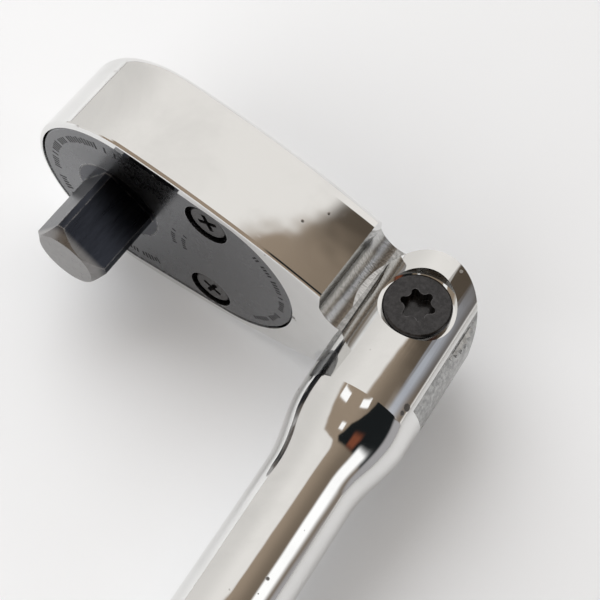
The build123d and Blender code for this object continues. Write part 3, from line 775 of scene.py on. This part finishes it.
def build_head(size, handle):
    face_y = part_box("head_body")[0].y / MM
    back_y = face_y + HEAD_DEPTH
    piece = mesh_object("head_forging", head_blank(size, face_y, back_y))
    combine(piece, neck_blank(size, handle.pivot_x, face_y, back_y), "UNION")
    pivot = (handle.pivot_x, handle.pivot_y)
    for z_from, z_to in ((size.tang_half, 20), (-20, -size.tang_half)):
        combine(piece, post(size.swing_radius, z_from, z_to, *pivot), "DIFFERENCE")
    combine(piece, post(size.tang_radius, -size.tang_half, size.tang_half, *pivot, 144), "UNION")
    combine(piece, post(size.pivot_bore, -10, 10, *pivot), "DIFFERENCE")
    circle = size.tang_radius + 0.1
    notches = []
    for step in NOTCH_STEPS:
        turn = handle.bend + step * size.notch_angle
        x, y = pivot[0] + circle * math.cos(turn), pivot[1] - circle * math.sin(turn)
        notches.append(post(size.notch_radius, -6, 6, x, y, 16))
    combine(piece, join(notches), "DIFFERENCE")
    ledge_y = face_y + size.recess_depth
    floor_y = face_y + size.floor_depth
    tip, end = (size.recess_tip_radius, size.recess_tip_x), (size.recess_end_radius, size.recess_end_x)
    combine(piece, hull_drum(*tip, *end, face_y - CLEAR, ledge_y), "DIFFERENCE")
    top = ledge_y - 0.1
    screws = (size.screw_spread, -size.screw_spread)
    throat = block(
        (size.cavity_radius - 0.3, top, -size.throat_half_width),
        (size.selector_x, floor_y, size.throat_half_width),
    )
    swing = drum(size.plunger_room, top, floor_y, size.selector_x)
    every = swing.verts[:] + swing.edges[:] + swing.faces[:]
    plane = {"plane_co": (size.selector_x, 0, 0), "plane_no": (1, 0, 0)}
    bmesh.ops.bisect_plane(swing, geom=every, clear_outer=True, **plane)
    bmesh.ops.holes_fill(swing, edges=swing.edges[:])
    bmesh.ops.recalc_face_normals(swing, faces=swing.faces[:])
    for tool in (
        drum(size.cavity_radius, top, floor_y),
        pocket_drum(size.pocket_radius, size.pocket_angle, top, floor_y),
        throat,
        swing,
        drum(size.selector_room, top, floor_y, size.selector_x),
        drum(size.journal_bore, floor_y - CLEAR, floor_y + size.journal_depth),
        drum(size.spindle_bore, floor_y - CLEAR, back_y + CLEAR, size.selector_x),
        drum(size.pin_radius, floor_y - CLEAR, floor_y + 2.0, size.pin_x),
        join([drum(size.screw_bore, ledge_y - CLEAR, ledge_y + 6.5, size.screw_x, z, 32) for z in screws]),
    ):
        combine(piece, tool, "DIFFERENCE")
    for face in piece.data.polygons:
        middle, normal = face.center, face.normal
        past_neck = middle.x > size.neck_x + 0.01
        on_ramp = past_neck and abs(middle.z) > size.tang_half - 0.3 and abs(normal.y) < 0.5
        on_tang = middle.x > handle.pivot_x - size.ramp_start + 0.1 and abs(middle.z) < size.tang_half + 0.01
        # index 2 is the slot plating, darkened as painted shade on the tang
        face.material_index = 2 if on_tang else (1 if on_ramp else 0)
    finish_piece(piece, "head", "head_body")


# ---- Handle, in its own frame: X across, Y along the pivot, Z along the handle ----
def handle_rings(size):
    """Place, half width and half height of each ring along the handle."""
    radius = size.barrel_radius
    rings = [(-1.1 * radius, radius, radius), (size.barrel_length, radius, radius)]
    spare = radius - size.shank_radius
    steps = 36
    for step in range(1, steps + 1):
        past = size.shoulder_length * step / steps
        scoop = max(1 - past / size.scoop_length, 0)
        flank = max(past - size.flank_length, 0) / (size.shoulder_length - size.flank_length)
        width = size.shank_radius + spare * (1 + math.cos(math.pi * flank)) / 2
        rings.append((size.barrel_length + past, width, size.shank_radius + spare * scoop**2))
    swell = size.grip_radius - size.shank_radius
    steps = 20
    for step in range(steps + 1):
        part = step / steps
        grown = size.shank_radius + swell * part * part * (3 - 2 * part)
        rings.append((size.swell_start + size.swell_length * part, grown, grown))
    half = math.acos(size.ring_lift / size.ring_radius)
    for centre in (size.ring_start, size.ring_end):
        for step in range(9):
            turn = half * (step / 4 - 1)
            depth = size.grip_radius + size.ring_lift - size.ring_radius * math.cos(turn)
            rings.append((centre + size.ring_radius * math.sin(turn), depth, depth))
    steps = 12
    for step in range(steps + 1):
        turn = math.pi / 2 * step / steps
        dome = size.grip_radius - size.end_radius * (1 - math.cos(turn))
        rings.append((size.total_length - size.end_radius * (1 - math.sin(turn)), dome, dome))
    return rings


def handle_blank(size):
    """The whole forging as a round bar of changing section."""
    bm = bmesh.new()
    rings = handle_rings(size)
    first = bmesh.ops.create_circle(bm, cap_ends=True, segments=ROUND_STEPS, radius=1.0)["verts"]
    place_z, width, height = rings[0]
    bmesh.ops.scale(bm, verts=first, vec=(width, height, 1))
    bmesh.ops.translate(bm, verts=first, vec=(0, 0, place_z))
    edges = bm.edges[:]
    for z, wide, high in rings[1:]:
        made = bmesh.ops.extrude_edge_only(bm, edges=edges)["geom"]
        verts, edges = only(bmesh.types.BMVert, made), only(bmesh.types.BMEdge, made)
        bmesh.ops.scale(bm, verts=verts, vec=(wide / width, high / height, 1))
        bmesh.ops.translate(bm, verts=verts, vec=(0, 0, z - place_z))
        place_z, width, height = z, wide, high
    bmesh.ops.contextual_create(bm, geom=edges)
    bmesh.ops.recalc_face_normals(bm, faces=bm.faces[:])
    return bm


def end_trimmer(size):
    """What is cut off to round the ears about the pivot."""
    bm = bmesh.new()
    radius = size.barrel_radius
    far = 1.5 * radius
    vert = bm.verts.new((radius, 0, 0))
    first = vert
    vert = arc(bm, vert, (0, 0, 0), math.pi, ROUND_STEPS)
    for point in ((-far, 0, 0), (-far, 0, -far), (far, 0, -far), (far, 0, 0)):
        vert = line(bm, vert, point)
    bm.edges.new((vert, first))
    return solid_outline(bm, -far, far)


def build_handle(size):
    piece = mesh_object("handle_forging", handle_blank(size))
    combine(piece, end_trimmer(size), "DIFFERENCE")

    def soften_ends(bm):
        rims = creased(bm, lambda e: max(v.co.z for v in e.verts) < -0.5)
        round_edges(bm, rims, size.end_rounding, 5)

    edit(piece, soften_ends)
    wide = 2 * size.barrel_radius
    slot = block((-wide, -size.slot_half, -wide), (wide, size.slot_half, size.slot_depth))
    combine(piece, slot, "DIFFERENCE")

    def on_slot_wall(e):
        flat = all(abs(abs(v.co.y) - size.slot_half) < 1e-3 for v in e.verts)
        return flat and min(v.co.z for v in e.verts) < size.slot_depth - 0.1

    def soften_slot(bm):
        round_edges(bm, creased(bm, on_slot_wall), size.ear_rounding, 4)

    edit(piece, soften_slot)
    upright = Matrix.Rotation(-math.pi / 2, 4, "X")
    for tool in (
        post(size.thread_bore, -wide, 0),
        post(size.screw_bore, 0, wide),
        post(size.screw_counterbore, size.screw_floor, wide),
    ):
        combine(piece, place(tool, upright), "DIFFERENCE")
    bore = post(size.plunger_bore, size.slot_depth - CLEAR, size.slot_depth + size.plunger_depth, steps=48)
    combine(piece, bore, "DIFFERENCE")
    across = Vector((math.sin(size.bend), math.cos(size.bend), 0))
    along = Vector((math.cos(size.bend), -math.sin(size.bend), 0))
    matrix = Matrix.Identity(4)
    for column, axis in enumerate((across, (0, 0, 1), along, (size.pivot_x, size.pivot_y, 0))):
        matrix.col[column].xyz = axis
    for face in piece.data.polygons:
        in_slot = abs(face.center.y) < size.slot_half + 0.01 and face.center.z < size.slot_depth + 0.1
        # index 2 is the slot plating, darkened as painted shade in the slot
        face.material_index = 2 if in_slot else 0
    finish_piece(piece, "handle", "handle", matrix)


# ---- Studio ----
def build_floor(studio):
    bm = bmesh.new()
    bmesh.ops.create_grid(bm, x_segments=1, y_segments=1, size=studio.floor_size)
    tilt = Matrix.Rotation(-math.atan(studio.floor_slope), 4, "X")
    rise = -studio.floor_drop + studio.floor_slope * studio.floor_front
    place(bm, Matrix.Translation((0, 0, rise)) @ tilt)
    floor = mesh_object("studio_floor", bm)
    material, tree, shader, where = new_material("pale floor", Specular_IOR_Level=0.25)
    cloud = noise_of(tree, where, 9.0, 4.0)
    shade = blend_colours(tree, cloud, studio.floor, shaded(studio.floor, 0.97))
    feed(shader, Base_Color=shade, Roughness=scaled(tree, cloud, 0.1, 0.55))
    floor.data.materials.append(material)


def between(tree, value, middle, half, soft):
    """A soft band: 1 within half of the middle, 0 outside it."""
    off = maths(tree, "ABSOLUTE", maths(tree, "SUBTRACT", value, middle))
    return ramp(tree, off, half + soft, half - soft)


def patch(tree, across, along, middle, half, soft=0.012):
    """A soft-edged rectangle in the room, such as a lamp."""
    sides = zip((across, along), middle, half)
    return times(tree, *(between(tree, value, *numbers, soft) for value, *numbers in sides))


def edge_line(tree, value, points):
    """A line through points (value, place), each from -1 to 1, read off as a number."""
    made = tree.nodes.new("ShaderNodeValToRGB")
    stops = made.color_ramp.elements
    while len(stops) < len(points):
        stops.new(0.5)
    for stop, (at, level) in zip(stops, points):
        stop.position = (at + 1) / 2
        stop.color = ((level + 1) / 2,) * 3 + (1.0,)
    plug(made.inputs[0], scaled(tree, value, 0.5, 0.5))
    return scaled(tree, made.outputs["Color"], 2.0, -1.0)


# where the pale wall gives way to the ceiling: pairs of Y and X of a direction
WALL_END = (
    (-0.35, -0.62),
    (-0.1, -0.55),
    (0.1, -0.45),
    (0.19, -0.08),
    (0.30, -0.02),
    (0.39, 0.07),
    (0.43, 0.2),
    (0.6, 0.35),
)
# the lamps: middle and half size in X and Y of a direction
LAMPS = (((-0.40, -0.33), (0.12, 0.055)), ((0.20, -0.345), (0.11, 0.045)), ((-0.055, -0.03), (0.06, 0.05)))
# where the ceiling gives way to the dim corner, read as WALL_END is
DIM_START = ((-0.5, 0.62), (-0.3, 0.42), (-0.1, 0.12), (0.1, -0.02), (0.17, 0.05))


def build_room(studio):
    """The room that the polished steel mirrors: a pale wall, a tan ceiling with lamps and a dim corner."""
    world = bpy.data.worlds.new("studio room")
    bpy.context.scene.world = world
    world.use_nodes = True
    tree = world.node_tree
    background = tree.nodes["Background"]
    direction = tree.nodes.new("ShaderNodeTexCoord").outputs["Generated"]
    split = node(tree, "ShaderNodeSeparateXYZ", Vector=direction)
    across, along, up = split.outputs["X"], split.outputs["Y"], split.outputs["Z"]
    ragged = noise_of(tree, direction, 6.0, 3.0)
    wobble = scaled(tree, ragged, 0.08, -0.04)
    wall_end = edge_line(tree, along, WALL_END)
    ragged_x = maths(tree, "ADD", across, wobble)
    past_wall = maths(tree, "SUBTRACT", ragged_x, wall_end)
    ceiling = times(tree, ramp(tree, past_wall, -0.03, 0.05), ramp(tree, up, -0.02, 0.05))
    tan = blend_colours(tree, ramp(tree, across, 0.0, 0.6), studio.room, shaded(studio.room, 0.55))
    high = times(tree, ramp(tree, along, 0.40, 0.44), ramp(tree, across, 0.16, 0.24))
    tan = blend_colours(tree, high, tan, shaded(studio.room, 0.26))
    pale = blend_colours(tree, ramp(tree, across, -0.95, -0.35), shaded(studio.sky, 0.84), studio.sky)
    shade = blend_colours(tree, ceiling, pale, tan)
    dim_start = edge_line(tree, along, DIM_START)
    past_dim = maths(tree, "SUBTRACT", ragged_x, dim_start)
    dim = times(tree, ramp(tree, past_dim, -0.02, 0.05), ramp(tree, along, 0.20, 0.14))
    dim = times(tree, dim, ramp(tree, across, 0.985, 0.95))
    shade = blend_colours(tree, dim, shade, (0.012, 0.014, 0.015))
    warm = patch(tree, ragged_x, along, (0.45, 0.06), (0.11, 0.09), 0.05)
    shade = blend_colours(tree, warm, shade, (0.22, 0.07, 0.038))
    shade = blend_colours(tree, ramp(tree, across, 0.93, 0.97), shade, (0.42, 0.41, 0.42))
    window = patch(tree, across, along, (0.775, 0.22), (0.125, 0.15), 0.045)
    faint = patch(tree, across, along, (0.80, 0.40), (0.07, 0.08), 0.05)
    lamps = [patch(tree, across, along, middle, half) for middle, half in LAMPS]
    shade = blend_colours(tree, faint, shade, (0.45, 0.47, 0.52))
    bright = times(tree, highest(tree, window, *lamps), ramp(tree, up, -0.02, 0.05))
    shade = blend_colours(tree, bright, shade, (1.0, 1.0, 1.0))
    feed(background, Color=shade, Strength=scaled(tree, bright, 0.25, studio.sky_strength))


def build_light(name, place_at, target, size, power, tint):
    data = bpy.data.lights.new(name, "AREA")
    data.shape = "DISK"
    data.size = size
    data.energy = power
    data.color = tint
    light = bpy.data.objects.new(name, data)
    light.location = place_at
    light.visible_glossy = False
    light.rotation_euler = (Vector(target) - Vector(place_at)).to_track_quat("-Z", "Y").to_euler()
    bpy.context.scene.collection.objects.link(light)


def build_camera(studio):
    data = bpy.data.cameras.new("camera")
    data.sensor_width = 36.0
    data.lens = studio.camera_lens
    data.clip_start = 0.01
    camera = bpy.data.objects.new("camera", data)
    camera.location = studio.camera_place
    camera.rotation_euler = studio.camera_turn
    bpy.context.scene.collection.objects.link(camera)
    bpy.context.scene.camera = camera


# ---- Operators ----
class RATCHET_OT_head(bpy.types.Operator):
    """Build the polished head forging"""

    bl_idname = "ratchet.head"
    bl_label = "Head"

    def execute(self, context):
        build_head(in_millimetres(context.scene.ratchet_head), in_millimetres(context.scene.ratchet_handle))
        return {"FINISHED"}


class RATCHET_OT_handle(bpy.types.Operator):
    """Build the polished handle forging"""

    bl_idname = "ratchet.handle"
    bl_label = "Handle"

    def execute(self, context):
        build_handle(in_millimetres(context.scene.ratchet_handle))
        return {"FINISHED"}


class RATCHET_OT_finishes(bpy.types.Operator):
    """Give every plate, screw, spring and inner piece its finish"""

    bl_idname = "ratchet.finishes"
    bl_label = "Finishes"

    def execute(self, context):
        for name, nodes in NODE_FINISHES.items():
            for key in nodes:
                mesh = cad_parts[key].data
                mesh.materials.clear()
                mesh.materials.append(finish_named(name))
        return {"FINISHED"}


class RATCHET_OT_studio(bpy.types.Operator):
    """Set up the floor, the room, the lights and the camera"""

    bl_idname = "ratchet.studio"
    bl_label = "Studio"

    def execute(self, context):
        studio = context.scene.ratchet_studio
        context.scene.view_settings.view_transform = "Standard"
        build_floor(studio)
        build_room(studio)
        target = (0.03, 0.0, 0.0)
        build_light("key", (-0.45, 0.18, 0.55), target, 0.8, studio.key_power, (1.0, 1.0, 1.0))
        build_light("fill", (-0.15, -0.75, 0.60), target, 0.8, studio.fill_power, (0.98, 0.99, 1.0))
        build_camera(studio)
        return {"FINISHED"}


class RATCHET_PT_panel(bpy.types.Panel):
    """Lists the steps and the sizes of the ratchet"""

    bl_idname = "RATCHET_PT_panel"
    bl_label = "Flex-Head Ratchet"
    bl_space_type = "VIEW_3D"
    bl_region_type = "UI"
    bl_category = "Ratchet"

    def draw(self, context):
        for step in STEPS:
            self.layout.operator(step.bl_idname)
        for name in GROUPS:
            group = getattr(context.scene, name)
            for key in group.bl_rna.properties.keys():
                if key not in ("rna_type", "name"):
                    self.layout.prop(group, key)


GROUPS = {
    "ratchet_head": RatchetHeadSizes,
    "ratchet_handle": RatchetHandleSizes,
    "ratchet_finishes": RatchetFinishes,
    "ratchet_studio": RatchetStudio,
}
STEPS = (RATCHET_OT_head, RATCHET_OT_handle, RATCHET_OT_finishes, RATCHET_OT_studio)
CLASSES = (*GROUPS.values(), *STEPS, RATCHET_PT_panel)


def register():
    for entry in CLASSES:
        bpy.utils.register_class(entry)
    for name, group in GROUPS.items():
        setattr(bpy.types.Scene, name, PointerProperty(type=group))


def unregister():
    for name in GROUPS:
        delattr(bpy.types.Scene, name)
    for entry in reversed(CLASSES):
        bpy.utils.unregister_class(entry)


def main():
    register()
    bpy.ops.ratchet.head()
    bpy.ops.ratchet.handle()
    bpy.ops.ratchet.finishes()
    bpy.ops.ratchet.studio()


if __name__ == "__main__":
    main()
